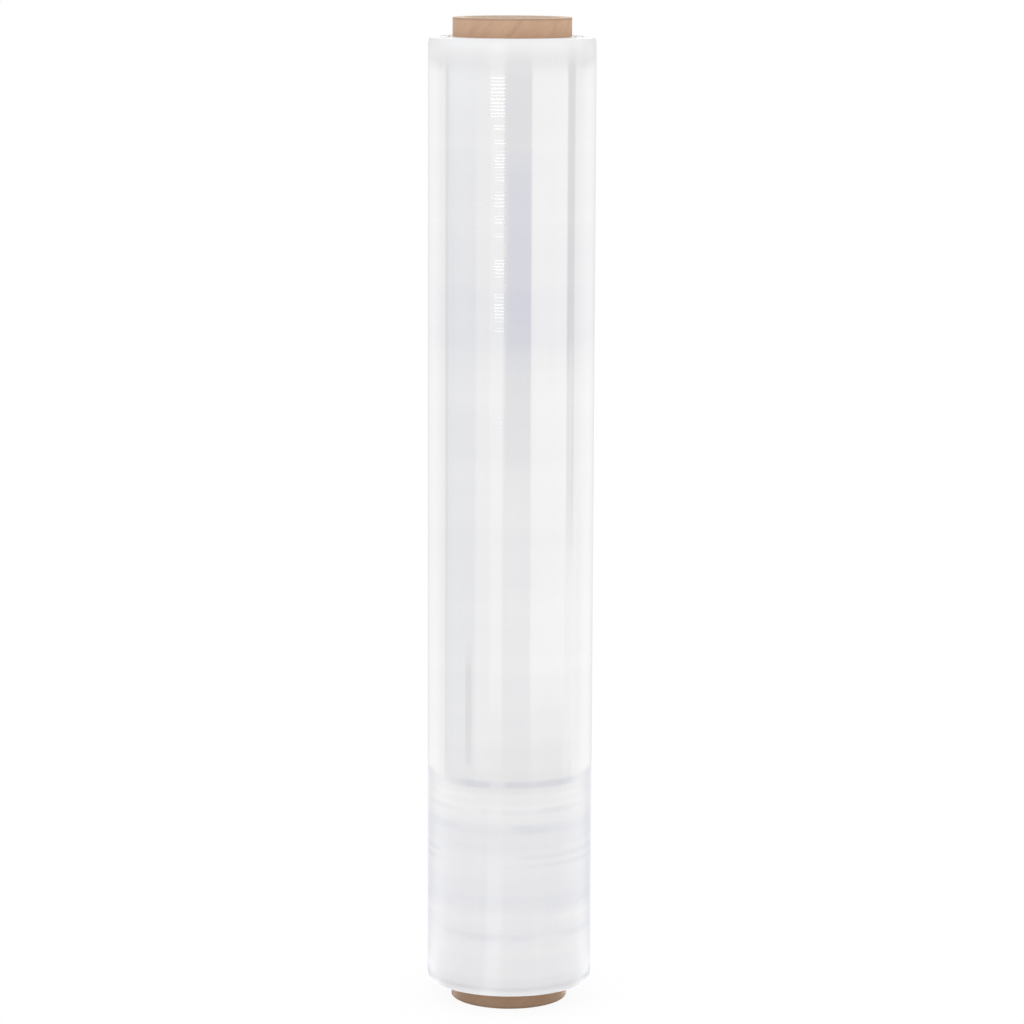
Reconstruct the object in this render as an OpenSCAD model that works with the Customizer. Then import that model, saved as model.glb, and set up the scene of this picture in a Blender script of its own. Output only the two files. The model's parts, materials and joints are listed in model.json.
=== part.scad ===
// Stretch wrap roll: one web of clear stretch film wound on a spiral cardboard tube.
// Z runs up the axis of the roll and the front faces -Y. The origin is at the middle
// of the tube's lower end, on which the roll stands.

/* [Core tube] */
// Inside diameter of the tube, which slides over a dispenser's spindle
core_bore = 50; // [38:0.5:54]
// Wall of the tube
core_wall = 5.9; // [3:0.1:9]
// How far the tube stands out below the film
core_below = 10.4; // [4:0.1:40]
// How far the tube stands out above the film
core_above = 10.1; // [4:0.1:40]
// Chamfer that the saw and handling leave on each edge of the rims
rim_chamfer = 0.4; // [0.1:0.1:1]

/* [Outer ply] */
// Angle between the edges of the outer ply and the axis of the tube
ply_angle = 40; // [30:1:60]
// Thickness of the outer ply
ply_thickness = 0.4; // [0.2:0.05:0.8]
// Width of the open seam between one turn of the ply and the next
seam_gap = 0.6; // [0.3:0.1:1.5]
// Direction in which the seam meets the upper rim, in degrees from +X
seam_direction = -80; // [-180:1:180]

/* [Film] */
// Width of the web of film, which is the height of the wound film
film_width = 500; // [250:1:600]
// Depth of the wound turns, from the tube to the face of the roll
film_depth = 12.65; // [4:0.05:40]
// Clearance between the tube and the first turn
film_fit = 0.05; // [0.02:0.01:0.2]
// Height of the step at the loose end of the film
tail_step = 0.1; // [0.05:0.05:0.3]
// Direction of the loose end, in degrees from +X
tail_direction = 105; // [0:1:360]

/* [Edges of the film] */
// Number of bundles of turns that show as rings on each end of the film
bundles = 9; // [3:1:14]
// How far a bundle has wandered along the tube from the next
edge_wander = 0.35; // [0.1:0.05:0.8]
// Height of the thinner margin at each edge of the web
margin_height = 4.7; // [2:0.1:12]
// How far the face falls in over the margin
margin_fall = 0.45; // [0.1:0.05:1]
// Chamfer on the outermost turns at each end
corner_chamfer = 0.6; // [0.2:0.1:1.5]

/* [Hidden] */
$fn = 96;

cut = 1;

core_radius = core_bore / 2 + core_wall;
core_length = core_below + film_width + core_above;

// The outer ply climbs by its lead in one turn, which twists the seam by this much a millimetre
ply_lead = 2 * PI * core_radius / tan(ply_angle);
ply_twist = 360 / ply_lead;
seam_step = 15;

film_bore_radius = core_radius + film_fit;
film_radius = film_bore_radius + film_depth;
bundle_depth = film_depth / bundles;

// Gauge bands, where the web is a little thick or thin and the turns build up a ring.
// Each is its place above the lower edge of the film, its height, and its rise or dip.
GAUGE_BANDS = [
    [23, 9, 0.06], [34, 8, -0.07], [43, 8, 0.09], [52, 8, -0.06], [66, 13, 0.08], [79, 9, -0.05],
    [90, 10, -0.1], [101, 11, 0.14], [122, 16, 0.05], [147, 20, -0.05], [176, 14, 0.06],
    [206, 24, 0.04], [243, 18, -0.05], [278, 22, 0.06], [316, 20, 0.04], [348, 16, -0.06],
    [381, 24, 0.07], [418, 20, -0.04], [446, 14, 0.06], [472, 18, 0.05]];

// The wander of a bundle: the golden angle keeps neighbours apart, and the two
// outermost bundles lie level with the nominal edge
function wander(k) = k > bundles - 3 ? 0 : edge_wander * sin(137.5 * (k + 1));

// The rings on one end, from the tube outwards, where the edge lies at height z
function end_rings(z, grow) = [
    for (k = [0 : bundles - 1], side = [0, 1])
        if (k + side < bundles)
            [film_bore_radius + (k + side) * bundle_depth + (k + side > 0 ? grow : -cut), z + wander(k)]];

// The face of the roll, upwards, with its margins and gauge bands
function face_line(grow) = let (r = film_radius + grow, fall = margin_fall, c = corner_chamfer) concat(
    [[r - fall - c, 0], [r - fall, c], [r, margin_height]],
    [for (band = GAUGE_BANDS)
        if (band[0] - band[1] / 2 > margin_height && band[0] + band[1] / 2 < film_width - margin_height)
            each [[r, band[0] - band[1] / 2], [r + band[2], band[0]], [r, band[0] + band[1] / 2]]],
    [[r, film_width - margin_height], [r - fall, film_width - c], [r - fall - c, film_width]]);

function reversed(points) = [for (k = [len(points) - 1 : -1 : 0]) points[k]];

// Half a turn of the wound film, grown outwards by grow
module half_roll(grow) {
    rotate_extrude(angle = 180)
        polygon(concat(end_rings(0, grow), face_line(grow), reversed(end_rings(film_width, grow))));
}

// The helical seam between one turn of the outer ply and the next, which runs out of both
// ends of the tube and meets the upper rim in its own direction
module ply_seam() {
    depth = core_radius - ply_thickness;
    half_width = seam_gap / cos(ply_angle) / 2;
    seam_height = core_length + 2 * cut;
    translate([0, 0, -cut])
        rotate([0, 0, seam_direction - (core_length + cut) * ply_twist])
            linear_extrude(height = seam_height, twist = -seam_height * ply_twist,
                    slices = ceil(seam_height * ply_twist / seam_step), segments = 4)
                polygon([[depth, -half_width], [core_radius + cut, -half_width],
                    [core_radius + cut, half_width], [depth, half_width]]);
}

module core_tube() {
    c = rim_chamfer;
    inner = core_bore / 2;
    outer = core_radius;
    color("#b8987c") difference() {
        rotate_extrude()
            polygon([[inner, c], [inner + c, 0], [outer - c, 0], [outer, c],
                [outer, core_length - c], [outer - c, core_length],
                [inner + c, core_length], [inner, core_length - c]]);
        ply_seam();
    }
}

// The web is wound as a spiral. Two half turns stand for its last turn: the second is
// grown by one step and shifted, so that they run into each other on one side and
// leave the loose end standing as a step on the other.
module film_roll() {
    color("#eef0f2") translate([0, 0, core_below]) difference() {
        rotate([0, 0, tail_direction]) {
            half_roll(0);
            translate([-tail_step / 2, 0, 0]) rotate([0, 0, 180]) half_roll(-tail_step / 2);
        }
        translate([0, 0, -cut]) cylinder(h = film_width + 2 * cut, r = film_bore_radius);
    }
}

core_tube();
film_roll();
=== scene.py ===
# %% [markdown]
# # A roll of stretch wrap
# The object is a hand roll of clear stretch film, 500 mm wide, wound on a brown board tube.
# Everything on it is turned about one axis, so nearly every piece here starts as half a
# section, an outline drawn in the plane of the axis, and is spun. The work is in the
# outline: the thin margins of the web, the rings where the turns build up, and the stepped
# edges of the turns at both ends.

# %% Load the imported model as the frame
import json
import math
import random

import bpy
from mathutils import Matrix, Vector


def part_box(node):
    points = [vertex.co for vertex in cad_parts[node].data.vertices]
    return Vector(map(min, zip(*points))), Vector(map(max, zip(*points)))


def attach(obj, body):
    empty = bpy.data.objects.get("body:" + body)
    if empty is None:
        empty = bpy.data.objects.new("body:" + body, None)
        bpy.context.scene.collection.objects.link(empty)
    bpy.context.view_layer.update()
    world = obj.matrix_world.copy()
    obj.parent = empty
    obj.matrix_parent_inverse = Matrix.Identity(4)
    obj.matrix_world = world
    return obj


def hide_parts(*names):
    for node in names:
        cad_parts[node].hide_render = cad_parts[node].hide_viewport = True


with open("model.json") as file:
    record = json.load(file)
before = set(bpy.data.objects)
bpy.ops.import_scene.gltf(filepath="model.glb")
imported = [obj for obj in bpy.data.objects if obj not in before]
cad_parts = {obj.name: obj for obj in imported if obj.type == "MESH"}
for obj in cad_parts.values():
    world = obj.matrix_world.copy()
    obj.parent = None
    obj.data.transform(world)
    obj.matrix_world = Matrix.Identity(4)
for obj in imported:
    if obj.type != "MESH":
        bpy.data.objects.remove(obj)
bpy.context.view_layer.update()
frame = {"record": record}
MM = 0.001
scene = bpy.context.scene

# %% [markdown]
# ## Sizes
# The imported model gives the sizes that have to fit: the tube's length and radius from its
# box, and the bore from its mount. The rest is named here as a real size in millimetres, such
# as the film's radius and how far the tube stands out below the film. The film's radius is
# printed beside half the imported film's width, so that the two can be compared.

# %% Sizes from the frame
tube_low, tube_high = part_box("core_tube")
film_low, film_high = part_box("film_roll")
bore_mount = next(m for m in frame["record"]["mounts"] if m["name"] == "core_bore")
bore_radius = bore_mount["dims"]["r_mm"] * MM
tube_radius = (tube_high.x - tube_low.x) / 2
tube_length = tube_high.z - tube_low.z

FILM_WIDTH = 500 * MM
BARE_END_BELOW = 10.4 * MM
FILM_FIT = 0.05 * MM
FILM_RADIUS = 43.6 * MM
film_bore = tube_radius + FILM_FIT
print(f"tube {tube_radius / MM:.2f} mm radius, {tube_length / MM:.1f} mm long, "
      f"bore {bore_radius / MM} mm")
print(f"film {FILM_RADIUS / MM:.2f} mm radius, "
      f"{(film_high.x - film_low.x) / 2 / MM:.2f} mm in the packed model")

# %% [markdown]
# ## The camera
# The photograph was taken with a long lens from nearly two metres, a little above the top
# of the roll and looking down on it. That is why both ends of the roll are seen from above
# the same way, and why the lower end looks narrower. The camera is set first, so that
# each later step can be looked at from it.

# %% Camera at the photograph's place
CAMERA_DISTANCE = 1.9463
CAMERA_HEIGHT = 0.5775
CAMERA_SIDE = 0.00076
PITCH_DOWN = math.radians(9.082)
ROLL = math.radians(0.2215)
LENS = 131.546
OPTICAL_CENTRE_RISE = 8.68 / 1024

camera_data = bpy.data.cameras.new("photo_camera")
camera_data.lens = LENS
camera_data.sensor_width = 36
camera_data.shift_y = -OPTICAL_CENTRE_RISE
camera = bpy.data.objects.new("photo_camera", camera_data)
scene.collection.objects.link(camera)
tilt = Matrix.Rotation(math.pi / 2 - PITCH_DOWN, 4, "X") @ Matrix.Rotation(ROLL, 4, "Z")
camera.matrix_world = Matrix.Translation((CAMERA_SIDE, -CAMERA_DISTANCE, CAMERA_HEIGHT)) @ tilt
scene.camera = camera
print("camera at", [round(c, 4) for c in camera.location])

# %% [markdown]
# ## Drawing an outline and spinning it
# A turned piece is one closed outline swept round the axis. By hand: add a plane, merge it
# to a single point, and extrude that point from corner to corner. The last point is joined
# to the first, and the spin tool sweeps the edges round. Some sweeps are made in two
# passes, one narrow and one wide, where the piece needs a narrow strip along its length.

# %% Outline and spin helpers
def start_alone():
    """Leaves edit mode and deselects everything, so that an operator acts on new work only."""
    if bpy.context.object and bpy.context.object.mode != "OBJECT":
        bpy.ops.object.mode_set(mode="OBJECT")
    bpy.ops.object.select_all(action="DESELECT")


def draw_outline(name, points):
    """A closed outline of edges through points, each (radius, height), in the plane y = 0."""
    start_alone()
    first = Vector((points[0][0], 0, points[0][1]))
    bpy.ops.mesh.primitive_plane_add(size=MM, location=(0, 0, 0))
    piece = bpy.context.object
    piece.name = piece.data.name = name
    bpy.ops.object.mode_set(mode="EDIT")
    bpy.ops.mesh.select_mode(type="VERT")
    bpy.ops.mesh.merge(type="CENTER")
    bpy.ops.transform.translate(value=first)
    here = first
    for radius, height in points[1:]:
        there = Vector((radius, 0, height))
        bpy.ops.mesh.extrude_region_move(TRANSFORM_OT_translate={"value": there - here})
        here = there
    bpy.ops.object.mode_set(mode="OBJECT")
    for vertex in piece.data.vertices:
        vertex.select = vertex.index in (0, len(points) - 1)
    bpy.ops.object.mode_set(mode="EDIT")
    bpy.ops.mesh.edge_face_add()
    return piece


def spin_outline(passes):
    """Sweeps the outline in edit mode round the axis, in passes of (degrees, steps)."""
    bpy.ops.mesh.select_all(action="SELECT")
    for degrees, steps in passes:
        bpy.ops.mesh.spin(steps=steps, angle=math.radians(degrees),
                          center=(0, 0, 0), axis=(0, 0, 1), use_auto_merge=False)
    bpy.ops.mesh.select_all(action="SELECT")
    bpy.ops.mesh.remove_doubles(threshold=0.001 * MM)
    bpy.ops.mesh.normals_make_consistent(inside=False)
    bpy.ops.object.mode_set(mode="OBJECT")


def select_faces(piece, chosen):
    """Selects, in edit mode, the faces where chosen(centre, normal) is true, and counts them."""
    start_alone()
    bpy.context.view_layer.objects.active = piece
    piece.select_set(True)
    bpy.context.tool_settings.mesh_select_mode = (False, False, True)
    bpy.ops.object.mode_set(mode="EDIT")
    bpy.ops.mesh.select_all(action="DESELECT")
    bpy.ops.object.mode_set(mode="OBJECT")
    for side in piece.data.polygons:
        side.select = chosen(side.center, side.normal)
    bpy.ops.object.mode_set(mode="EDIT")
    return sum(chosen(side.center, side.normal) for side in piece.data.polygons)


def triangles(piece):
    piece.data.calc_loop_triangles()
    return len(piece.data.loop_triangles)


# %% [markdown]
# ## The film's outline
# The web isn't quite even across its width. Each thick or thin stripe lies on itself turn
# after turn, and after 550 turns it shows as a ring. The two margins are thinner, so the
# roll falls away over its last few millimetres. The same stripes are in the solid model.
# Here each one gets a smooth, rounded section and a fifth of its height, since even a low
# ring bends what the film mirrors.

# %% Gauge bands and margins
MARGIN_HEIGHT = 4.7 * MM
MARGIN_FALL = 0.45 * MM
SHOULDER_HEIGHT = 18 * MM
SHOULDER_FALL = 0.1 * MM
CORNER = 0.35 * MM
FACE_STEP = 1.25 * MM
# Each band is its place above the lower edge, its height, and its rise or dip, in mm
GAUGE_BANDS = [
    (23, 9, 0.06), (34, 8, -0.07), (43, 8, 0.09), (52, 8, -0.06), (66, 13, 0.08), (79, 9, -0.05),
    (90, 10, -0.1), (101, 11, 0.14), (122, 16, 0.05), (147, 20, -0.05), (176, 14, 0.06),
    (206, 24, 0.04), (243, 18, -0.05), (278, 22, 0.06), (316, 20, 0.04), (348, 16, -0.06),
    (381, 24, 0.07), (418, 20, -0.04), (446, 14, 0.06), (472, 18, 0.05)]
BAND_SCALE = 0.2


def band_rise(height):
    """How far the face stands out at a height above the film's lower edge."""
    rise = 0
    for place, width, top in GAUGE_BANDS:
        off = abs(height / MM - place) / (width / 2)
        if off < 1:
            rise += BAND_SCALE * top * MM * (1 + math.cos(math.pi * off)) / 2
    return rise


def edge_fall(height):
    """How far the face falls in towards the nearer edge of the web."""
    inside = min(height, FILM_WIDTH - height)
    margin = max(0, 1 - inside / MARGIN_HEIGHT)
    shoulder = max(0, 1 - inside / SHOULDER_HEIGHT)
    return MARGIN_FALL * margin ** 1.5 + SHOULDER_FALL * shoulder ** 2


def face_outline():
    """The face of the roll from its lower corner to its upper one."""
    steps = round((FILM_WIDTH - 2 * CORNER) / FACE_STEP)
    heights = [CORNER + (FILM_WIDTH - 2 * CORNER) * k / steps for k in range(steps + 1)]
    face = [(FILM_RADIUS + band_rise(h) - edge_fall(h), h) for h in heights]
    low, high = face[0][0] - CORNER, face[-1][0] - CORNER
    turn = [math.radians(a) for a in (0, 30, 60)]
    foot = [(low + CORNER * math.sin(a), CORNER - CORNER * math.cos(a)) for a in turn]
    top = [(high + CORNER * math.sin(a), FILM_WIDTH - CORNER + CORNER * math.cos(a))
           for a in reversed(turn)]
    return foot + face + top


face = face_outline()
print(f"face outline: {len(face)} points, corner radius {face[0][0] / MM:.2f} mm")

# %% [markdown]
# ## The turns at the ends
# Seen from the end, the edges of the turns make fine rings. The web wandered a little as it
# was wound, so bundles of turns stand out or lie back, and a bundle that stands out at the
# top lies back by as much at the bottom. The rings are true circles here: one turn moves
# outwards by only a fiftieth of a millimetre.

# %% End rings
BUNDLES = 9
EDGE_WANDER = 0.2 * MM
# The outermost bundles lie level with the web's edge
LEVEL_BUNDLES = 2
# Turning by the golden angle keeps the wander of neighbours apart
GOLDEN_ANGLE = 137.5
RINGS_PER_BUNDLE = 5
RING_WANDER = 0.05 * MM
ring_random = random.Random(5)


def end_rings(outer):
    """Rings from the bore to the corner, each (inner radius, outer radius, wander)."""
    count = BUNDLES * RINGS_PER_BUNDLE
    depth = (outer - film_bore) / count
    rings = []
    for k in range(count):
        bundle = k // RINGS_PER_BUNDLE
        level = bundle >= BUNDLES - LEVEL_BUNDLES
        wander = 0 if level else EDGE_WANDER * math.sin(math.radians(GOLDEN_ANGLE * (bundle + 1)))
        wander += RING_WANDER * ring_random.uniform(-1, 1) * (1 - k / count)
        rings.append((film_bore + k * depth, film_bore + (k + 1) * depth, wander))
    return rings


rings = end_rings(face[0][0])
lower_end = [point for inner, outer, wander in rings
             for point in ((inner, wander), (outer, wander))]
upper_end = [point for inner, outer, wander in reversed(rings)
             for point in ((outer, FILM_WIDTH + wander), (inner, FILM_WIDTH + wander))]
film_outline = [(radius, height + BARE_END_BELOW)
                for radius, height in lower_end + face + upper_end]
print(f"film outline: {len(film_outline)} points, {len(rings)} rings on each end")

# %% [markdown]
# ## Spinning the film, and its loose end
# The web is a spiral, so its surface climbs by one thickness in a turn and drops again at
# the loose end. The sweep stops just short of a full turn, and the gap is bridged by a
# narrow strip. A Displace modifier, weighted by the angle, lifts the last turn, so that the
# strip becomes the edge of the loose end.

# %% Spin the film
FILM_STEPS = 120
TAIL_DIRECTION = 105
TAIL_GAP = 0.4
TAIL_STEP = 0.1 * MM

film = draw_outline("film_turns", film_outline)
spin_outline([(360 - TAIL_GAP, FILM_STEPS)])
bpy.ops.object.mode_set(mode="EDIT")
bpy.ops.mesh.select_all(action="DESELECT")
bpy.ops.mesh.select_mode(type="EDGE")
bpy.ops.mesh.select_non_manifold()
bpy.ops.mesh.bridge_edge_loops()
bpy.ops.mesh.select_all(action="SELECT")
bpy.ops.mesh.normals_make_consistent(inside=False)
bpy.ops.object.mode_set(mode="OBJECT")
print(f"film: {len(film.data.vertices)} points, {triangles(film)} triangles")

# %% Lift the last turn and turn the loose end to the back
lap = film.vertex_groups.new(name="last_turn")
for vertex in film.data.vertices:
    if math.hypot(vertex.co.x, vertex.co.y) > face[0][0] - MM:
        angle = math.degrees(math.atan2(vertex.co.y, vertex.co.x)) % 360
        share = 0 if angle > 360 - TAIL_GAP / 2 else angle / (360 - TAIL_GAP)
        lap.add([vertex.index], share, "REPLACE")
lift = film.modifiers.new("lift", "DISPLACE")
lift.vertex_group = "last_turn"
lift.mid_level = 0
lift.strength = TAIL_STEP
start_alone()
bpy.context.view_layer.objects.active = film
film.select_set(True)
bpy.ops.object.modifier_apply(modifier="lift")
film.data.transform(Matrix.Rotation(math.radians(TAIL_DIRECTION), 4, "Z"))
bpy.ops.object.shade_smooth_by_angle(angle=math.radians(35))
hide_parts("film_roll")
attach(film, "root")

# %% [markdown]
# ## The core tube
# The tube is wound from strips of board laid on a slant, so one open seam of the outer ply
# climbs round it. Its rims are saw cut and show the plies as rings. The tube is spun with
# a narrow strip along it, the strip is pushed in to make a straight seam, and a Simple
# Deform modifier then twists the whole tube, which is what gives the seam its slant.

# %% Tube outline with its plies
PLIES = 11
PLY_STEP = 0.06 * MM
RIM_ROUND = 0.25 * MM
TUBE_STEP = 4 * MM
ply_random = random.Random(11)


def rim_rings():
    """Rings of the rim from the bore outwards, each (inner radius, outer radius, depth)."""
    inner, outer = bore_radius + RIM_ROUND, tube_radius - RIM_ROUND
    depth = (outer - inner) / PLIES
    return [(inner + k * depth, inner + (k + 1) * depth, PLY_STEP * ply_random.uniform(0, 1))
            for k in range(PLIES)]


plies = rim_rings()
lower_rim = [point for inner, outer, deep in plies for point in ((inner, deep), (outer, deep))]
upper_rim = [(radius, tube_length - deep) for radius, deep in reversed(lower_rim)]
wall_steps = round((tube_length - 2 * RIM_ROUND) / TUBE_STEP)
wall = [RIM_ROUND + (tube_length - 2 * RIM_ROUND) * k / wall_steps for k in range(wall_steps + 1)]
tube_outline = (lower_rim + [(tube_radius, h) for h in wall]
                + upper_rim + [(bore_radius, h) for h in reversed(wall)])
print(f"tube outline: {len(tube_outline)} points")

# %% Spin the tube, sink its seam and twist it
TUBE_STEPS = 96
PLY_ANGLE = math.radians(40)
PLY_THICKNESS = 0.4 * MM
SEAM_GAP = 0.6 * MM
SEAM_DIRECTION = -80
seam_degrees = math.degrees(SEAM_GAP / math.cos(PLY_ANGLE) / tube_radius)
ply_lead = 2 * math.pi * tube_radius / math.tan(PLY_ANGLE)


def on_strip(centre, normal):
    """Whether a face of the tube's outside lies on the narrow strip."""
    outside = math.hypot(centre.x, centre.y) > tube_radius - 0.1 * MM
    return outside and -seam_degrees < math.degrees(math.atan2(centre.y, centre.x)) < 0


tube = draw_outline("core_tube_board", tube_outline)
spin_outline([(seam_degrees, 1), (360 - seam_degrees, TUBE_STEPS)])
strip_faces = select_faces(tube, on_strip)
bpy.ops.mesh.extrude_region_shrink_fatten(TRANSFORM_OT_shrink_fatten={"value": -PLY_THICKNESS})
bpy.ops.object.mode_set(mode="OBJECT")
twist = tube.modifiers.new("twist", "SIMPLE_DEFORM")
twist.deform_method = "TWIST"
twist.deform_axis = "Z"
twist.angle = 2 * math.pi * tube_length / ply_lead
bpy.ops.object.modifier_apply(modifier="twist")


def seam_angle(height):
    """The seam's direction at a height, from the points of its sunk floor."""
    floor = [v.co for v in tube.data.vertices if abs(v.co.z - height) < TUBE_STEP / 2
             and abs(math.hypot(v.co.x, v.co.y) - tube_radius + PLY_THICKNESS) < 0.05 * MM
             and RIM_ROUND / 2 < v.co.z < tube_length - RIM_ROUND / 2]
    return math.degrees(math.atan2(sum(c.y for c in floor), sum(c.x for c in floor)))


seam_now = seam_angle(tube_length - RIM_ROUND)
print(f"seam: {strip_faces} faces sunk, upper end now at {seam_now:.1f} degrees")
tube.data.transform(Matrix.Rotation(math.radians(SEAM_DIRECTION - seam_now), 4, "Z"))
bpy.ops.object.shade_smooth_by_angle(angle=math.radians(35))
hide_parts("core_tube")
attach(tube, "root")
print(f"tube: {triangles(tube)} triangles, lead {ply_lead / MM:.0f} mm, seam at "
      f"{seam_angle(tube_length - RIM_ROUND):.1f} degrees on top and "
      f"{seam_angle(tube_length - 8 * MM):.1f} 8 mm lower")

# %% [markdown]
# ## Helpers for materials
# Every finish here is built from nodes and reads Object coordinates, which are metres on the
# real object. The helpers below only shorten the writing: one fills a socket, one adds a
# Math node, one a smooth Map Range, one a colour Mix, and one places a node group.

# %% Node helpers
def new_material(name):
    """A material with a fresh Principled shader, returned as (material, tree, shader)."""
    material = bpy.data.materials.new(name)
    material.use_nodes = True
    tree = material.node_tree
    tree.nodes.clear()
    output = tree.nodes.new("ShaderNodeOutputMaterial")
    shader = tree.nodes.new("ShaderNodeBsdfPrincipled")
    tree.links.new(shader.outputs["BSDF"], output.inputs["Surface"])
    return material, tree, shader


def plug(tree, value, socket):
    """Fills an input with another node's output, or with a plain number or colour."""
    if isinstance(value, bpy.types.NodeSocket):
        tree.links.new(value, socket)
    else:
        socket.default_value = value


def calc(tree, operation, *values):
    """A Math node. Each value is a number or another node's output."""
    node = tree.nodes.new("ShaderNodeMath")
    node.operation = operation
    for value, socket in zip(values, node.inputs):
        plug(tree, value, socket)
    return node.outputs["Value"]


def smooth(tree, value, start, end, low=0.0, high=1.0):
    """A smooth Map Range. It falls instead of rising where start is above end."""
    node = tree.nodes.new("ShaderNodeMapRange")
    node.interpolation_type = "SMOOTHSTEP"
    settings = {"Value": value, "From Min": start, "From Max": end, "To Min": low, "To Max": high}
    for name, number in settings.items():
        plug(tree, number, node.inputs[name])
    return node.outputs["Result"]


def mix_colours(tree, share, first, second):
    """A colour between first, at share 0, and second, at share 1."""
    node = tree.nodes.new("ShaderNodeMix")
    node.data_type = "RGBA"
    plug(tree, share, node.inputs[0])
    plug(tree, first, node.inputs[6])
    plug(tree, second, node.inputs[7])
    return node.outputs[2]


def place_of(tree):
    """The point on the piece in metres, as (vector, x, y, z)."""
    texture_place = tree.nodes.new("ShaderNodeTexCoord").outputs["Object"]
    split = tree.nodes.new("ShaderNodeSeparateXYZ")
    tree.links.new(texture_place, split.inputs[0])
    return texture_place, split.outputs["X"], split.outputs["Y"], split.outputs["Z"]


def new_group(name, inputs, outputs):
    """An empty node group with number inputs, given as name=value, and number outputs."""
    group = bpy.data.node_groups.new(name, "ShaderNodeTree")
    for label, value in inputs.items():
        socket = group.interface.new_socket(label, in_out="INPUT", socket_type="NodeSocketFloat")
        socket.default_value = value
    for label in outputs:
        group.interface.new_socket(label, in_out="OUTPUT", socket_type="NodeSocketFloat")
    return (group, group.nodes.new("NodeGroupInput").outputs,
            group.nodes.new("NodeGroupOutput").inputs)


def use_group(tree, group, **values):
    """Places a group in a material with its own values, and returns its first output."""
    node = tree.nodes.new("ShaderNodeGroup")
    node.node_tree = group
    for label, value in values.items():
        plug(tree, value, node.inputs[label])
    return node.outputs[0]


def paint(piece, *materials):
    """Gives a piece these materials and nothing else."""
    piece.data.materials.clear()
    for material in materials:
        piece.data.materials.append(material)


def repaint(piece, number, chosen):
    """Faces for which chosen(centre, normal) is true take the material of that number."""
    count = 0
    for side in piece.data.polygons:
        if chosen(side.center, side.normal):
            side.material_index = number
            count += 1
    return count


print("node helpers ready")

# %% [markdown]
# ## One grain for film and board
# Both materials are long webs, so both have a grain that is stretched one way. On the film
# it runs level round the roll. On the tube it runs along the strips of board, which climb
# round it at a slant. One group gives both. It untwists the point by so many radians a
# metre, squeezes it by a different amount across and up, and reads a Noise texture there.

# %% The web_grain group
web_grain, given, result = new_group(
    "web_grain", {"Across": 20.0, "Up": 400.0, "Twist": 0.0, "Detail": 2.0, "Place": 0.0},
    ["Grain"])
point, _, _, height = place_of(web_grain)
untwist = web_grain.nodes.new("ShaderNodeVectorRotate")
untwist.rotation_type = "Z_AXIS"
web_grain.links.new(point, untwist.inputs["Vector"])
web_grain.links.new(calc(web_grain, "MULTIPLY", height, given["Twist"]), untwist.inputs["Angle"])
squeeze = web_grain.nodes.new("ShaderNodeCombineXYZ")
for axis, label in (("X", "Across"), ("Y", "Across"), ("Z", "Up")):
    web_grain.links.new(given[label], squeeze.inputs[axis])
squeezed = web_grain.nodes.new("ShaderNodeVectorMath")
squeezed.operation = "MULTIPLY"
web_grain.links.new(untwist.outputs["Vector"], squeezed.inputs[0])
web_grain.links.new(squeeze.outputs["Vector"], squeezed.inputs[1])
noise = web_grain.nodes.new("ShaderNodeTexNoise")
noise.noise_dimensions = "4D"
noise.inputs["Scale"].default_value = 1
web_grain.links.new(squeezed.outputs["Vector"], noise.inputs["Vector"])
web_grain.links.new(given["Place"], noise.inputs["W"])
web_grain.links.new(given["Detail"], noise.inputs["Detail"])
web_grain.links.new(noise.outputs["Fac"], result["Grain"])
print("web_grain has", len(web_grain.nodes), "nodes")

# %% [markdown]
# ## Round the axis
# Everything here is round, so several finishes need to know how far a point is from the
# roll's axis, and in which direction it lies. A second group gives both. The direction is in
# degrees from the front, and grows towards the right as the camera sees it.

# %% The round_axis group
round_axis, given, result = new_group("round_axis", {}, ["Radius", "Direction"])
_, x, y, _ = place_of(round_axis)
squares = calc(round_axis, "ADD", calc(round_axis, "MULTIPLY", x, x),
               calc(round_axis, "MULTIPLY", y, y))
round_axis.links.new(calc(round_axis, "SQRT", squares), result["Radius"])
from_front = calc(round_axis, "ARCTAN2", x, calc(round_axis, "MULTIPLY", y, -1.0))
round_axis.links.new(calc(round_axis, "DEGREES", from_front), result["Direction"])


def around(tree):
    """The distance from the axis in metres, and the direction in degrees."""
    node = tree.nodes.new("ShaderNodeGroup")
    node.node_tree = round_axis
    return node.outputs["Radius"], node.outputs["Direction"]


print("round_axis has", len(round_axis.nodes), "nodes")

# %% [markdown]
# ## The face of the film
# Clear film is wound so tightly that the roll looks like pale grey glass. Light goes a few
# turns in and comes back milky, and the outer turn still mirrors the room. So the base is a
# pale, faintly blue grey, and the gloss is sharp. The grey varies in several ways. Gauge
# bands that stand out are milkier, and creases and pockets of air make soft patches. Low on
# the film, broken level lines are painted lighter and darker, as painted reflections of the
# table, and some stretches are painted darker, as painted shade. The upper edge of the web
# scatters light and is whiter. The lower edge scatters light too, and is painted lighter
# still, as painted light.

# %% How milky the film is
def off_level(tree, height, middle):
    """How far a height is from a level given in mm above the film's lower edge."""
    return calc(tree, "ABSOLUTE", calc(tree, "SUBTRACT", height, BARE_END_BELOW + middle * MM))


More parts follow.
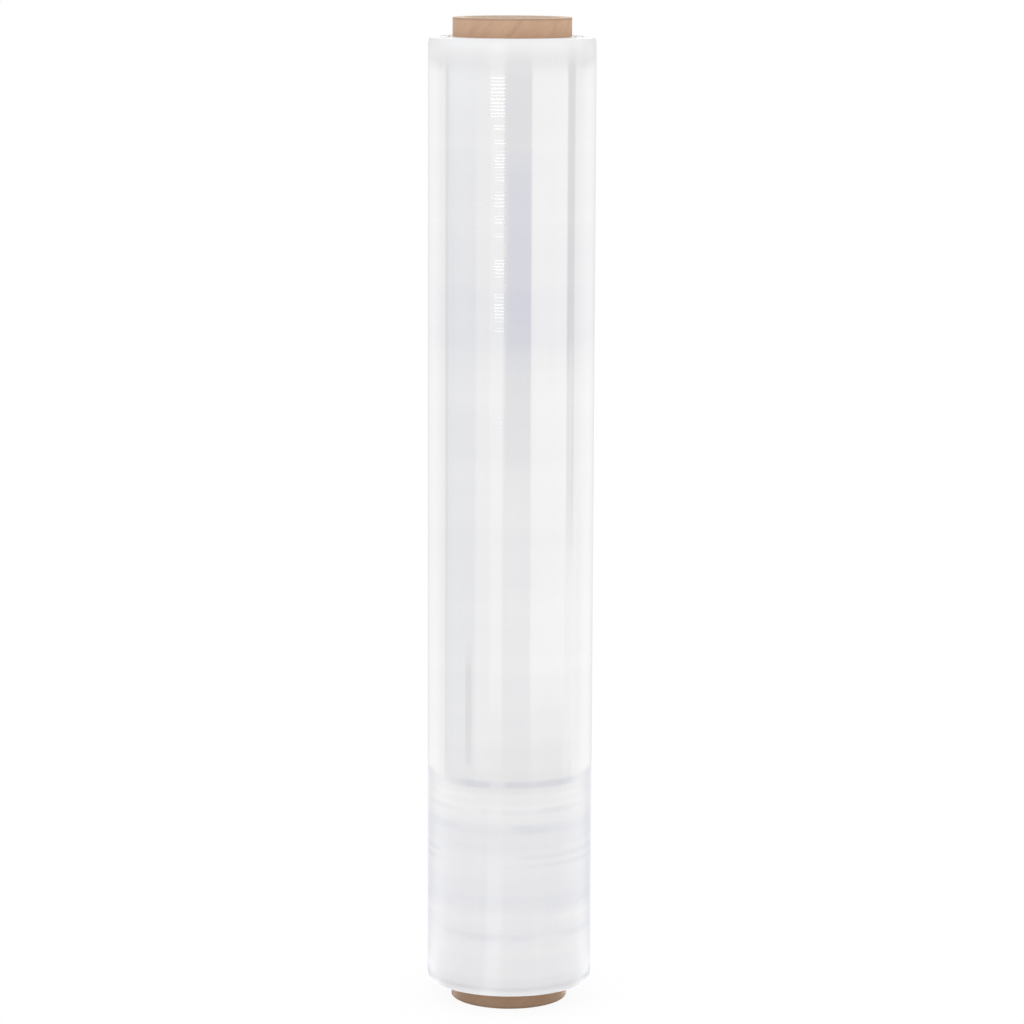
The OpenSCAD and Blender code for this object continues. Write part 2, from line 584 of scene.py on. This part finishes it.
MILKY_MIDDLE, GAUGE_SHARE = 0.5, 0.12
film_face, tree, shader = new_material("film_face")
_, _, _, z = place_of(tree)
gauge = tree.nodes.new("ShaderNodeAttribute")
gauge.attribute_name = "gauge"
CLEAR_ZONE = 366
air = use_group(tree, web_grain, Across=9.0, Up=30.0, Detail=3.0, Place=2.0)
threads = use_group(tree, web_grain, Across=6.0, Up=420.0, Detail=2.0, Place=7.0)
clear_zone = smooth(tree, off_level(tree, z, CLEAR_ZONE), 45 * MM, 12 * MM)
milky = calc(tree, "MULTIPLY_ADD", gauge.outputs["Fac"], GAUGE_SHARE, MILKY_MIDDLE)
milky = calc(tree, "ADD", milky, calc(tree, "MULTIPLY_ADD", air, 0.4, -0.2))
milky = calc(tree, "ADD", milky, calc(tree, "MULTIPLY_ADD", threads, 0.1, -0.05))
milky = calc(tree, "SUBTRACT", milky, calc(tree, "MULTIPLY", clear_zone, 0.2))
creases = use_group(tree, web_grain, Across=150.0, Up=5.0, Detail=2.0, Place=8.0)
milky = calc(tree, "ADD", milky, calc(tree, "MULTIPLY_ADD", creases, 0.2, -0.1))
# Painted reflection bands: broken level lines, lighter or darker, where the film mirrors the
# table. Each is its middle above the film's lower edge and its height, in mm, and how much
# milkier it is
PAINTED_REFLECTION_RINGS = [
    (114, 6, -0.2), (107, 5, 0.2), (99.6, 5, -0.35), (90, 7, -0.4), (79, 5, 0.35), (75, 4, -0.35),
    (70, 4, -0.35), (49, 6, -0.3), (41, 6, 0.2), (31.5, 6, -0.25)]
ring_grain = use_group(tree, web_grain, Across=26.0, Up=40.0, Detail=3.0, Place=14.0)
lengths = smooth(tree, ring_grain, 0.45, 0.62)
for middle, tall, share in PAINTED_REFLECTION_RINGS:
    ring = smooth(tree, off_level(tree, z, middle), tall / 2 * MM, tall / 8 * MM, 0.0, share)
    milky = calc(tree, "MULTIPLY_ADD", ring, lengths, milky)
# A painted reflection of the table's front edge: a level line, less milky than the rest. It
# crosses the front, with a gap in the middle
EDGE_REFLECTION_LEVEL = 114
_, direction = around(tree)
off = off_level(tree, z, EDGE_REFLECTION_LEVEL)
crossing = smooth(tree, calc(tree, "ABSOLUTE", calc(tree, "SUBTRACT", direction, 9.0)), 48, 36)
gap = smooth(tree, calc(tree, "ABSOLUTE", calc(tree, "ADD", direction, 8.5)), 3, 8)
painted_edge_reflection = smooth(tree, off, 2.8 * MM, 0.6 * MM, 0.0, -0.45)
painted_edge_reflection = calc(tree, "MULTIPLY", painted_edge_reflection, calc(tree, "MULTIPLY", crossing, gap))
milky = calc(tree, "ADD", milky, painted_edge_reflection)
UPPER_EDGE = BARE_END_BELOW + FILM_WIDTH
edge_glow = smooth(tree, z, UPPER_EDGE - 14 * MM, UPPER_EDGE - 1 * MM)
# Painted shade: stretches low on the film are less milky, so darker. Each is its middle above
# the film's lower edge and half its height, in mm, and how much milkier it is
PAINTED_SHADE_STRETCHES = [(7, 4, -0.13), (57, 24, -0.22), (84, 12, -0.16)]
for middle, half, share in PAINTED_SHADE_STRETCHES:
    stretch = smooth(tree, off_level(tree, z, middle), half * MM, half / 4 * MM, 0.0, share)
    milky = calc(tree, "ADD", milky, stretch)
# The lowest few millimetres are paler: the edge scatters light, and painted light stands in for the
# light from below that the table holds back
painted_low_edge_light = smooth(tree, z, BARE_END_BELOW + 4 * MM, BARE_END_BELOW + 1 * MM)
film_colour = mix_colours(tree, milky, (0.611, 0.615, 0.649, 1), (0.797, 0.785, 0.764, 1))
film_colour = mix_colours(tree, edge_glow, film_colour, (0.83, 0.83, 0.835, 1))
film_colour = mix_colours(tree, painted_low_edge_light, film_colour, (0.89, 0.89, 0.895, 1))
tree.links.new(film_colour, shader.inputs["Base Color"])
print(f"film tone: milky share in the middle {MILKY_MIDDLE}, band share {GAUGE_SHARE} each way")

# %% [markdown]
# ## Gloss and ridges
# The tall highlight on this film is broken into dashes. Level ridges under 2 mm apart do it.
# Each has a long gentle side and a short steep one, which looks up by a few degrees and so
# mirrors a lamp above. A Bump node reads them from a sawtooth in height. They come in groups,
# because the tension changed from turn to turn, and they fill one narrow upright strip, where
# the highlight falls. Near the upper edge the gloss turns hazy and weaker.

# %% Gloss, hazy margin and level ridges
RIDGE_PITCH = 1.74 * MM
RIDGE_HEIGHT = 0.05 * MM
RIDGE_STEEP_SHARE = 0.35
WAVE_HEIGHT = 0.02 * MM
# Each group of ridges is its middle above the film's lower edge and its height, in mm, and
# its strength
RIDGE_GROUPS = [(470, 26, 1.0), (440, 42, 0.76), (410, 30, 0.98), (384, 18, 1.3), (361, 24, 1.4),
                (303, 18, 1.58)]
RIDGES_LEFT, RIDGES_RIGHT = -15.6, -3.6
shader.inputs["IOR"].default_value = 1.75
hazy_margin = smooth(tree, z, UPPER_EDGE - 20 * MM, UPPER_EDGE - 6 * MM)
gloss = calc(tree, "MULTIPLY_ADD", air, 0.06, 0.02)
tree.links.new(calc(tree, "ADD", gloss, calc(tree, "MULTIPLY", hazy_margin, 0.18)),
               shader.inputs["Roughness"])
tree.links.new(calc(tree, "MULTIPLY_ADD", hazy_margin, -0.38, 0.5),
               shader.inputs["Specular IOR Level"])
warp = use_group(tree, web_grain, Across=12.0, Up=110.0, Detail=1.0, Place=11.0)
turns_up = calc(tree, "MULTIPLY_ADD", z, 1 / RIDGE_PITCH, calc(tree, "MULTIPLY", warp, 1.4))
along = calc(tree, "FRACT", turns_up)
slow_side = calc(tree, "DIVIDE", along, 1 - RIDGE_STEEP_SHARE)
steep_side = calc(tree, "DIVIDE", calc(tree, "SUBTRACT", 1.0, along), RIDGE_STEEP_SHARE)
ridge = calc(tree, "MINIMUM", slow_side, steep_side)
strength = 0.0
for middle, tall, share in RIDGE_GROUPS:
    off = off_level(tree, z, middle)
    in_group = smooth(tree, off, tall / 2 * MM, tall / 2 * MM - 3 * MM, 0.0, share)
    strength = calc(tree, "MAXIMUM", in_group, strength)
patch_grain = use_group(tree, web_grain, Across=5.0, Up=150.0, Detail=1.0, Place=4.0)
patches = smooth(tree, patch_grain, 0.36, 0.52, 0.4, 1.0)
left_end = smooth(tree, z, UPPER_EDGE - 48 * MM, UPPER_EDGE - 38 * MM, RIDGES_LEFT + 3, RIDGES_LEFT)
inside = calc(tree, "MINIMUM", calc(tree, "SUBTRACT", direction, left_end),
              calc(tree, "SUBTRACT", RIDGES_RIGHT, direction))
patches = calc(tree, "MULTIPLY", patches, smooth(tree, inside, 0.0, 1.5))
shown = calc(tree, "MULTIPLY", strength, patches)
ridges = calc(tree, "MULTIPLY", calc(tree, "MULTIPLY", ridge, shown), RIDGE_HEIGHT)
waves = use_group(tree, web_grain, Across=7.0, Up=75.0, Detail=1.0, Place=5.0)
wave_height = smooth(tree, z, 140 * MM, 90 * MM, WAVE_HEIGHT, 2 * WAVE_HEIGHT)
relief = calc(tree, "MULTIPLY_ADD", waves, wave_height, ridges)
ridge_bump = tree.nodes.new("ShaderNodeBump")
ridge_bump.inputs["Distance"].default_value = 1
tree.links.new(relief, ridge_bump.inputs["Height"])
tree.links.new(ridge_bump.outputs["Normal"], shader.inputs["Normal"])
print(f"ridges {RIDGE_HEIGHT / MM} mm, waves {WAVE_HEIGHT / MM} mm")

# %% [markdown]
# ## The ends of the film
# At the ends the web's cut edges show, 550 of them side by side. They scatter light, so the
# end is duller and whiter than the face, with fine rings where one turn stands above the
# next. The rings depend only on the distance from the axis, so a Noise texture reads that
# one number. The outermost turns are painted paler all along the corner, a painted highlight.

# %% Cut edges of the turns
film_ends, tree, shader = new_material("film_ends")
radius, _ = around(tree)
rings_seen = []
for rings_per_metre, detail in ((5200, 2), (700, 1)):
    ring_noise = tree.nodes.new("ShaderNodeTexNoise")
    ring_noise.noise_dimensions = "1D"
    ring_noise.inputs["Scale"].default_value = rings_per_metre
    ring_noise.inputs["Detail"].default_value = detail
    tree.links.new(radius, ring_noise.inputs["W"])
    rings_seen.append(ring_noise.outputs["Fac"])
broad_rings = calc(tree, "MULTIPLY_ADD", rings_seen[1], 0.9, -0.3)
ring_tone = calc(tree, "MULTIPLY_ADD", rings_seen[0], 0.6, broad_rings)
# Painted highlight: the outermost turns are paler all along the corner
painted_corner_highlight = smooth(tree, radius, FILM_RADIUS - 1.6 * MM, FILM_RADIUS - 0.9 * MM)
end_colour = mix_colours(tree, ring_tone, (0.80, 0.81, 0.83, 1), (0.95, 0.95, 0.955, 1))
end_colour = mix_colours(tree, painted_corner_highlight, end_colour, (0.97, 0.97, 0.975, 1))
tree.links.new(end_colour, shader.inputs["Base Color"])
shader.inputs["Roughness"].default_value = 0.25
shader.inputs["Specular IOR Level"].default_value = 0.2
end_bump = tree.nodes.new("ShaderNodeBump")
end_bump.inputs["Distance"].default_value = 0.05 * MM
tree.links.new(rings_seen[0], end_bump.inputs["Height"])
tree.links.new(end_bump.outputs["Normal"], shader.inputs["Normal"])
print("film ends: two sets of rings")

# %% Paint the film
gauge_of_film = film.data.attributes.new("gauge", "FLOAT", "POINT")
gauge_of_film.data.foreach_set(
    "value", [band_rise(v.co.z - BARE_END_BELOW) / (BAND_SCALE * 0.1 * MM)
              for v in film.data.vertices])
corner_radius = face[0][0]
paint(film, film_face, film_ends)
end_faces = repaint(film, 1, lambda centre, normal: abs(normal.z) > 0.35
                    or math.hypot(centre.x, centre.y) < corner_radius + CORNER / 2)
print(f"film: {end_faces} faces of cut edges, {len(film.data.polygons) - end_faces} of face")

# %% [markdown]
# ## Board
# The tube is grey board inside and brown kraft paper outside. Its fibres lie along the
# strips, so the grain group is untwisted by the slant of the plies. The wall has a faint
# sheen from the rollers. Near each rim, and on the tube's lower end below the film, the kraft
# is painted darker, as painted shade. The rims are saw cut, rougher and paler, and the plies
# show as rings. The floor of the outer seam is paler: it is the next ply, and painted light
# lifts the shade in the seam. The bore has paler paper and a spiral seam of its own.

# %% Kraft wall, rims and bore
PLY_TWIST = -2 * math.pi / ply_lead
# How far clockwise from +X the bore's seam lies at the tube's foot, seen from above, in radians
BORE_SEAM_TURN = 2.2
# Board in shade, where it meets the film or a rim
SHADED_KRAFT = (0.27, 0.16, 0.09, 1)


def board_finish(name, pale, dark, roughness, relief_height):
    """A board finish with fibres along the plies, as (material, tree, shader, colour, relief)."""
    finish, tree, shader = new_material(name)
    fibres = use_group(tree, web_grain, Across=3600.0, Up=240.0, Twist=PLY_TWIST,
                       Detail=3.0, Place=1.0)
    clouds = use_group(tree, web_grain, Across=160.0, Up=90.0, Twist=PLY_TWIST,
                       Detail=3.0, Place=3.0)
    flecks = use_group(tree, web_grain, Across=1500.0, Up=260.0, Twist=PLY_TWIST,
                       Detail=1.0, Place=9.0)
    share = calc(tree, "ADD", calc(tree, "MULTIPLY", fibres, 0.5),
                 calc(tree, "MULTIPLY", clouds, 0.5))
    share = calc(tree, "ADD", share, smooth(tree, flecks, 0.66, 0.78, 0.0, 0.5))
    colour = mix_colours(tree, smooth(tree, share, 0.32, 0.72), pale, dark)
    shader.inputs["Roughness"].default_value = roughness
    relief = calc(tree, "MULTIPLY", fibres, relief_height)
    return finish, tree, shader, colour, relief


def finish_off(tree, shader, colour, relief):
    """Joins a colour and a relief in metres to the shader."""
    bump = tree.nodes.new("ShaderNodeBump")
    bump.inputs["Distance"].default_value = 1
    tree.links.new(colour, shader.inputs["Base Color"])
    tree.links.new(relief, bump.inputs["Height"])
    tree.links.new(bump.outputs["Normal"], shader.inputs["Normal"])


kraft_wall, tree, shader, colour, relief = board_finish(
    "kraft_wall", (0.54, 0.327, 0.196, 1), (0.44, 0.257, 0.146, 1), 0.55, 0.03 * MM)
_, _, _, z = place_of(tree)
from_middle = calc(tree, "ABSOLUTE", calc(tree, "SUBTRACT", z, tube_length / 2))
from_end = calc(tree, "SUBTRACT", tube_length / 2, from_middle)
# Painted shade: the kraft darkens within 1.5 mm of each rim
painted_rim_shade = smooth(tree, from_end, 1.5 * MM, 0.6 * MM, 0.0, 0.55)
colour = mix_colours(tree, painted_rim_shade, colour, SHADED_KRAFT)
radius, _ = around(tree)
# The seam's floor is paler: the next ply, and painted light that lifts the shade in the seam
floor = smooth(tree, radius, tube_radius - 0.1 * MM, tube_radius - 0.3 * MM, 0.0, 0.4)
colour = mix_colours(tree, floor, colour, (0.80, 0.58, 0.42, 1))
# Painted shade on the tube's lower end below the film: darker all over, and darkest just under the
# film
painted_shade_below_film = smooth(tree, z, BARE_END_BELOW - 3 * MM, BARE_END_BELOW, 0.18, 0.6)
lower_end = smooth(tree, z, BARE_END_BELOW + 20 * MM, BARE_END_BELOW)
painted_shade_below_film = calc(tree, "MULTIPLY", painted_shade_below_film, lower_end)
colour = mix_colours(tree, painted_shade_below_film, colour, SHADED_KRAFT)
shader.inputs["Specular IOR Level"].default_value = 0.35
finish_off(tree, shader, colour, relief)
board_rim, tree, shader, colour, relief = board_finish(
    "board_rim", (0.84, 0.68, 0.54, 1), (0.62, 0.45, 0.33, 1), 0.85, 0.12 * MM)
radius, _ = around(tree)
ply_depth = (tube_radius - bore_radius) / PLIES
ply_place = calc(tree, "DIVIDE", calc(tree, "SUBTRACT", radius, bore_radius), ply_depth)
ply_side = calc(tree, "ABSOLUTE", calc(tree, "SUBTRACT", calc(tree, "FRACT", ply_place), 0.5))
ply_line = smooth(tree, ply_side, 0.32, 0.48, 0.0, 0.7)
colour = mix_colours(tree, ply_line, colour, (0.42, 0.28, 0.18, 1))
relief = calc(tree, "MULTIPLY_ADD", ply_line, -0.05 * MM, relief)
finish_off(tree, shader, colour, relief)
board_bore, tree, shader, colour, relief = board_finish(
    "board_bore", (0.82, 0.70, 0.58, 1), (0.68, 0.54, 0.42, 1), 0.75, 0.05 * MM)
_, x, y, z = place_of(tree)
bearing = calc(tree, "ADD", calc(tree, "ARCTAN2", y, x), BORE_SEAM_TURN)
turned = calc(tree, "MULTIPLY_ADD", z, PLY_TWIST, bearing)
off_seam = calc(tree, "ABSOLUTE", calc(tree, "WRAP", turned, math.pi, -math.pi))
seam_aside = calc(tree, "MULTIPLY", off_seam, bore_radius)
seam_line = smooth(tree, seam_aside, 0.45 * MM, 0.2 * MM)
colour = mix_colours(tree, seam_line, colour, (0.30, 0.22, 0.16, 1))
relief = calc(tree, "MULTIPLY_ADD", seam_line, -0.1 * MM, relief)
finish_off(tree, shader, colour, relief)
print("board finishes:", kraft_wall.name, board_rim.name, board_bore.name)

# %% Paint the tube
paint(tube, kraft_wall, board_rim, board_bore)
rim_faces = repaint(tube, 1, lambda centre, normal: abs(normal.z) > 0.9)
bore_faces = repaint(
    tube, 2, lambda centre, normal: math.hypot(centre.x, centre.y) < bore_radius + 0.1 * MM)
print(f"tube: {rim_faces} faces on the rims, {bore_faces} in the bore")

# %% [markdown]
# ## The stage
# The roll stands on a round white table in a white room. A white world gives the soft light
# from all round. The table has a Light Path node, which does what a photographer does with
# cards. The camera sees the table almost as white as the room, so only a faint shadow is
# left. Mirror rays see the table glow, as painted light: brighter in front and at the sides,
# with a painted reflection of the strip lamp and a bright ring just outside the film. They
# find it darker at the roll's foot and along its own front edge, a painted shadow and painted
# shade. Soft light finds a painted shadow, nearly black, right under the film, which darkens
# the tube's lower end.

# %% World and table
scene.view_settings.view_transform = "Standard"
world = bpy.data.worlds.new("white_studio")
world.use_nodes = True
world.node_tree.nodes["Background"].inputs["Color"].default_value = (1, 1, 1, 1)
world.node_tree.nodes["Background"].inputs["Strength"].default_value = 1.0
scene.world = world

TABLE_RADIUS = 0.56
start_alone()
bpy.ops.mesh.primitive_cylinder_add(
    vertices=128, radius=TABLE_RADIUS, depth=0.012, location=(0, 0, -0.0061))
table = bpy.context.object
table.name = "white_table"
bpy.ops.object.transform_apply(location=True, rotation=True, scale=True)
table_white, tree, shader = new_material("table_white")
_, _, y, _ = place_of(tree)
light_path = tree.nodes.new("ShaderNodeLightPath").outputs
from_axis, direction = around(tree)
facing = calc(tree, "DIVIDE", y, from_axis)
# Painted reflection of the strip lamp: the table glows brighter under it, for mirror rays
near_strip = calc(tree, "MULTIPLY", smooth(tree, direction, -34, -24),
                  smooth(tree, direction, -4, -14))
strip_light = calc(tree, "MULTIPLY", near_strip, smooth(tree, from_axis, 0.45, 0.25, 0.2, 0.6))
# Painted shade along the table's front edge, for mirror rays
painted_edge_shade = calc(tree, "MULTIPLY", smooth(tree, from_axis, 0.549, 0.554),
                 smooth(tree, facing, 0.1, -0.3))
# Painted shadow of the roll round its foot, and behind it, for mirror rays
painted_foot_shadow = calc(tree, "MULTIPLY", smooth(tree, from_axis, 0.1, 0.06),
                 smooth(tree, facing, 0.15, -0.5))
painted_back_shadow = calc(tree, "MULTIPLY", smooth(tree, from_axis, 0.084, 0.066),
                 smooth(tree, facing, -0.2, 0.3))
painted_foot_shadow = calc(tree, "MAXIMUM", painted_foot_shadow, calc(tree, "MULTIPLY", painted_back_shadow, 0.55))
painted_foot_shadow = calc(tree, "MULTIPLY", painted_foot_shadow, calc(tree, "MULTIPLY_ADD", near_strip, -0.4, 1.0))
lit_table = calc(tree, "MULTIPLY", calc(tree, "SUBTRACT", 1.0, painted_foot_shadow),
                 calc(tree, "SUBTRACT", 1.0, painted_edge_shade))
# Painted light: for mirror rays the table glows brighter in front and at the sides, and in a bright
# ring just outside the film's lower edge
in_front = calc(tree, "ADD", strip_light, smooth(tree, facing, 0.85, 0.2, 0.0, 1.1))
painted_ring_light = calc(tree, "MULTIPLY", smooth(tree, from_axis, 0.056, 0.05), 2.0)
glossy_light = calc(tree, "MULTIPLY_ADD", lit_table, in_front, painted_ring_light)
for_camera = calc(tree, "MULTIPLY", light_path["Is Camera Ray"], 0.93)
for_gloss = calc(tree, "MULTIPLY", light_path["Is Glossy Ray"], glossy_light)
glow = calc(tree, "SUBTRACT", smooth(tree, from_axis, 0.07, 0.09, 0.0, 0.15),
            calc(tree, "MULTIPLY", light_path["Is Camera Ray"], 0.15))
for_gloss = calc(tree, "ADD", for_gloss, calc(tree, "MAXIMUM", glow, 0.0))
# Painted shade in the table's colour for mirror rays, darker where lit_table is low
mirrored_tone = mix_colours(tree, lit_table, (0.42, 0.44, 0.52, 1), (0.84, 0.86, 0.94, 1))
# Painted shadow under the film: for soft light the table is nearly black within the roll's reach
past_roll = smooth(tree, from_axis, 0.040, 0.047)
painted_shadow_tone = mix_colours(tree, past_roll, (0.06, 0.06, 0.07, 1), (0.93, 0.93, 0.93, 1))
table_tone = mix_colours(tree, light_path["Is Glossy Ray"], painted_shadow_tone, mirrored_tone)
tree.links.new(mix_colours(tree, light_path["Is Camera Ray"], table_tone, (0.07, 0.07, 0.07, 1)),
               shader.inputs["Base Color"])
tree.links.new(calc(tree, "ADD", for_camera, for_gloss), shader.inputs["Emission Color"])
shader.inputs["Emission Strength"].default_value = 1
shader.inputs["Specular IOR Level"].default_value = 0
paint(table, table_white)
print(f"table {2 * TABLE_RADIUS} m across")

# %% [markdown]
# ## What the film mirrors
# Gloss needs something to mirror. Round the stage stands a room wall, and in front of it are
# curved light panels and dark gaps, each between two directions and two heights. They are
# hidden from the camera and give no soft light, so they act only in reflections. Each
# panel's level is its brightness beside the white world's 1. Its edges are soft, through an
# Alpha that falls towards them, and a nearer panel covers a farther one. Their places and
# levels were found by matching the bands of light in the photograph, from its one view.

# %% The soft_edges group
soft_edges, given, result = new_group(
    "soft_edges", {"Middle": 0.0, "Half": 10.0, "Left Soft": 3.0, "Right Soft": 3.0,
                   "Low": 0.0, "High": 1.0, "Low Soft": 0.05, "High Soft": 0.05}, ["Share"])
_, _, _, z = place_of(soft_edges)
_, direction = around(soft_edges)
aside = calc(soft_edges, "SUBTRACT", direction, given["Middle"])
aside = calc(soft_edges, "WRAP", aside, 180.0, -180.0)
left_end = calc(soft_edges, "MULTIPLY", given["Half"], -1.0)
left_inner = calc(soft_edges, "ADD", left_end, given["Left Soft"])
left_share = smooth(soft_edges, aside, left_end, left_inner)
right_inner = calc(soft_edges, "SUBTRACT", given["Half"], given["Right Soft"])
right_share = smooth(soft_edges, aside, given["Half"], right_inner)
low_inner = calc(soft_edges, "ADD", given["Low"], given["Low Soft"])
low_share = smooth(soft_edges, z, given["Low"], low_inner)
high_inner = calc(soft_edges, "SUBTRACT", given["High"], given["High Soft"])
high_share = smooth(soft_edges, z, given["High"], high_inner)
across = calc(soft_edges, "MULTIPLY", left_share, right_share)
upright = calc(soft_edges, "MULTIPLY", low_share, high_share)
soft_edges.links.new(calc(soft_edges, "MULTIPLY", across, upright), result["Share"])
print("soft_edges has", len(soft_edges.nodes), "nodes")

# %% Wall and panel helpers
WALL_RADIUS = 1.5
WALL_LOW, WALL_HIGH = -0.9, 1.9
PANEL_SPACING = 0.002
panels_made = []


def seen_in_gloss_only(thing):
    for ray in ("camera", "diffuse", "shadow", "transmission", "volume_scatter"):
        setattr(thing, "visible_" + ray, False)


def curved_wall(name, left, right, low, high, reach):
    """An upright edge swept clockwise round the axis, between two directions in degrees."""
    start_alone()
    foot = Matrix.Rotation(math.radians(right), 3, "Z") @ Vector((0, -reach, low))
    bpy.ops.mesh.primitive_plane_add(size=MM, location=(0, 0, 0))
    thing = bpy.context.object
    thing.name = thing.data.name = name
    bpy.ops.object.mode_set(mode="EDIT")
    bpy.ops.mesh.select_mode(type="VERT")
    bpy.ops.mesh.merge(type="CENTER")
    bpy.ops.transform.translate(value=foot)
    bpy.ops.mesh.extrude_region_move(TRANSFORM_OT_translate={"value": (0, 0, high - low)})
    bpy.ops.mesh.select_all(action="SELECT")
    bpy.ops.mesh.spin(steps=max(2, round((right - left) / 4)), angle=math.radians(right - left),
                      center=(0, 0, 0), axis=(0, 0, 1), use_auto_merge=False)
    bpy.ops.object.mode_set(mode="OBJECT")
    seen_in_gloss_only(thing)
    return thing


def panel(name, left, right, low, high, level, sides=(3, 3), ends=(0.05, 0.05), tint=(1, 1, 1)):
    """A light panel or, with a low level, a dark gap between two directions and two heights."""
    panels_made.append(name)
    reach = WALL_RADIUS - PANEL_SPACING * len(panels_made)
    thing = curved_wall(name, left, right, low, high, reach)
    material, tree, shader = new_material(name)
    share = use_group(tree, soft_edges, **{
        "Middle": (left + right) / 2, "Half": (right - left) / 2,
        "Left Soft": sides[0], "Right Soft": sides[1],
        "Low": low, "High": high, "Low Soft": ends[0], "High Soft": ends[1]})
    tree.links.new(share, shader.inputs["Alpha"])
    shader.inputs["Base Color"].default_value = (0, 0, 0, 1)
    shader.inputs["Specular IOR Level"].default_value = 0
    shader.inputs["Emission Color"].default_value = (*tint, 1)
    shader.inputs["Emission Strength"].default_value = level
    paint(thing, material)


room = curved_wall("room_wall", -180, 180, WALL_LOW, WALL_HIGH, WALL_RADIUS)
room_white, tree, shader = new_material("room_white")
shader.inputs["Base Color"].default_value = (0, 0, 0, 1)
shader.inputs["Specular IOR Level"].default_value = 0
shader.inputs["Emission Color"].default_value = (1, 1, 1, 1)
shader.inputs["Emission Strength"].default_value = 0.88
paint(room, room_white)

# %% Panels, from the farthest to the nearest
COOL, SKY, DUSK, INDIGO = (0.95, 0.965, 1), (0.94, 0.985, 1.07), (0.78, 0.83, 1), (0.36, 0.46, 1)
panel("left_window", -172, -97, WALL_LOW, WALL_HIGH, 2.1, sides=(57, 8))
panel("right_window", 94, 170, WALL_LOW, WALL_HIGH, 2.2, sides=(3, 56))
panel("back_light", 115, 245, 0.5, WALL_HIGH, 1.7, sides=(12, 12), ends=(0.04, 0.1))
panel("front_room", -101, 94, WALL_LOW, WALL_HIGH, 1.4, sides=(3, 5), tint=COOL)
panel("left_fill", -98.5, -44, -0.255, 0.9, 1.6, sides=(2, 6), ends=(0.1, 0.1), tint=SKY)
panel("left_middle", -92, -44, -0.255, 0.9, 1.85, sides=(14, 6), ends=(0.1, 0.1), tint=SKY)
panel("left_sky", -97, -44, 0.24, 0.9, 2.6, sides=(12, 6), ends=(0.3, 0.1), tint=SKY)
panel("window_bar", -65, -53.5, -0.2, -0.08, 0.85, sides=(2, 2), ends=(0.01, 0.04), tint=SKY)
panel("left_line", -104.5, -94.5, -0.12, 0.9, 1.0, sides=(8, 2), ends=(0.2, 0.1))
panel("strip_side", -52, -26, -0.255, 0.9, 2.5, sides=(6, 5), ends=(0.1, 0.1))
panel("strip_window", -32, -5, -0.255, 0.9, 2.9, sides=(5, 9), ends=(0.14, 0.1))
panel("low_room", -12, 28, -0.24, 0.9, 2.15, sides=(6, 3), ends=(0.12, 0.1), tint=COOL)
panel("dark_room", -10, 30, 0.02, 0.437, 1.35, sides=(5, 4), ends=(0.13, 0.006), tint=DUSK)
panel("dark_core", -8, 30, 0.17, 0.365, 1.15, sides=(6, 4), ends=(0.05, 0.04), tint=INDIGO)
panel("soft_box", 25, 84, -0.255, 0.9, 3.0, sides=(4, 4), ends=(0.16, 0.1))
panel("low_fill", 78, 106, -0.255, 0.08, 2.5, sides=(4, 8), ends=(0.1, 0.12))
panel("dark_gap", 80, 95, 0.13, 0.9, 0.85, sides=(4, 4), ends=(0.08, 0.1), tint=COOL)
panel("faint_gap", 85, 94, -0.02, 0.22, 1.7, sides=(4, 4), ends=(0.1, 0.06), tint=COOL)
panel("floor_line_left", -68, -29, -0.27, -0.216, 0.5, sides=(3, 3), ends=(0.01, 0.006))
panel("floor_line_right", -6, 86, -0.27, -0.216, 0.5, sides=(3, 8), ends=(0.01, 0.006))
panel("upper_left", -178, -104, 0.447, 0.9, 0.6, sides=(20, 8), ends=(0.008, 0.1))
panel("upper_right", 104, 178, 0.447, 0.9, 0.6, sides=(8, 20), ends=(0.008, 0.1))
panel("upper_wall", -104, 104, 0.85, WALL_HIGH, 2.0, sides=(8, 8), ends=(0.05, 0.1))
panel("strip_lamp", -32, -7, 0.48, 0.74, 6.0, sides=(2, 2), ends=(0.08, 0.03))
print(f"{len(panels_made)} panels:", ", ".join(panels_made))
